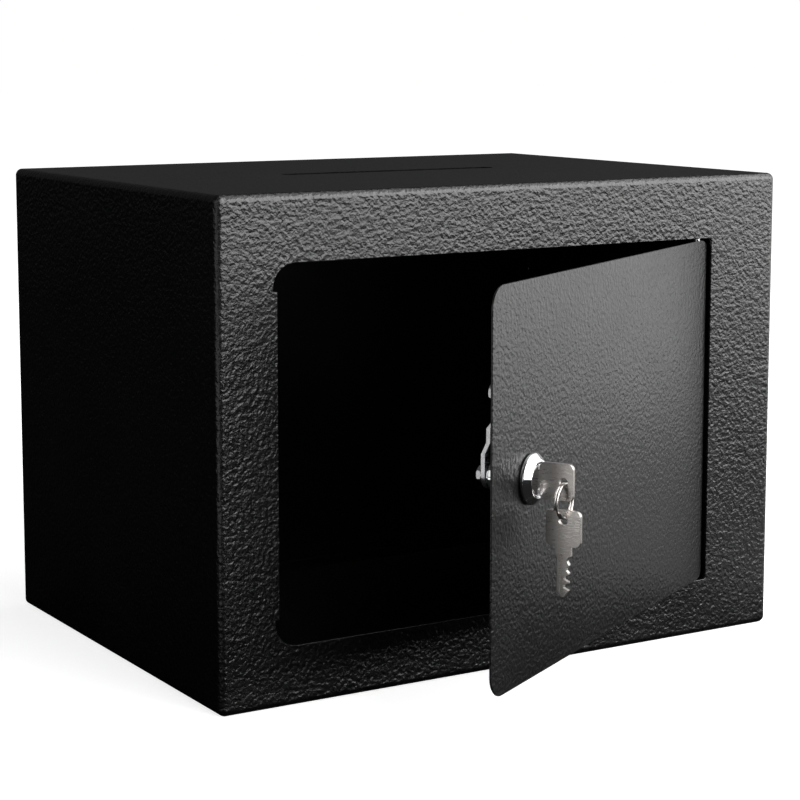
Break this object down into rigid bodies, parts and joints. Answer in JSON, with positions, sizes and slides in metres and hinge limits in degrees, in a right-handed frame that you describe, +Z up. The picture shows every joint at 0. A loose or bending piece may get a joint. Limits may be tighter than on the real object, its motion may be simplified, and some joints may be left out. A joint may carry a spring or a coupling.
{
  "type": "toy safe coin bank",
  "caption": "Small sheet-steel money safe with a hinged front door, a cam lock with keys on a ring, and a coin and card slot in its top.",
  "frame": {"origin": "centre of the cabinet's flat base, on the surface that it stands on", "axes": "+X to the right as seen from the front, +Y from the front to the back, +Z up"},
  "size_m": [0.23, 0.2587, 0.17],
  "materials": {
    "powder_coat": "black wrinkled powder coat",
    "zinc_steel": "bright zinc plate",
    "chrome": "polished",
    "lock_brass": "stamped",
    "nickel": "satin nickel plate"
  },
  "bodies": {
    "cabinet": {"cabinet_shell": "powder_coat", "back_panel": "powder_coat", "upper_hinge_bracket": "powder_coat", "lower_hinge_bracket": "powder_coat"},
    "door": {"door_plate": "powder_coat", "upper_hinge_pin": "zinc_steel", "lower_hinge_pin": "zinc_steel", "lock_housing": "chrome", "lock_washer": "zinc_steel", "lock_nut": "zinc_steel"},
    "lock_core": {"lock_plug": "chrome", "lock_wafer_1": "lock_brass", "lock_wafer_2": "lock_brass", "lock_wafer_3": "lock_brass", "lock_wafer_4": "lock_brass", "cam": "zinc_steel", "cam_washer": "zinc_steel", "cam_bolt": "zinc_steel", "cam_stud": "zinc_steel"},
    "key": {"key": "nickel"},
    "ring": {"split_ring": "nickel"},
    "spare_key": {"spare_key": "nickel"}
  },
  "joints": [
    {"name": "door_hinge", "type": "hinge", "parent": "cabinet", "child": "door", "pos_m": [0.0813, -0.0816, 0.0848], "axis": [0, 0, 1], "range_deg": [-30, 60]},
    {"name": "lock_turn", "type": "hinge", "parent": "door", "child": "lock_core", "pos_m": [-0.04474, -0.15829, 0.0848], "axis": [0.5, -0.866, 0], "range_deg": [0, 90]},
    {"name": "key_pull", "type": "slide", "parent": "lock_core", "child": "key", "axis": [0.5, -0.866, 0], "range_m": [0, 0.022]},
    {"name": "ring_swing", "type": "hinge", "parent": "key", "child": "ring", "pos_m": [-0.03899, -0.16825, 0.0843], "axis": [-0.866, -0.5, 0], "range_deg": [-8, 80]},
    {"name": "spare_key_swing", "type": "hinge", "parent": "ring", "child": "spare_key", "pos_m": [-0.03899, -0.16825, 0.0735], "axis": [-0.866, -0.5, 0], "range_deg": [-5, 45]}
  ]
}
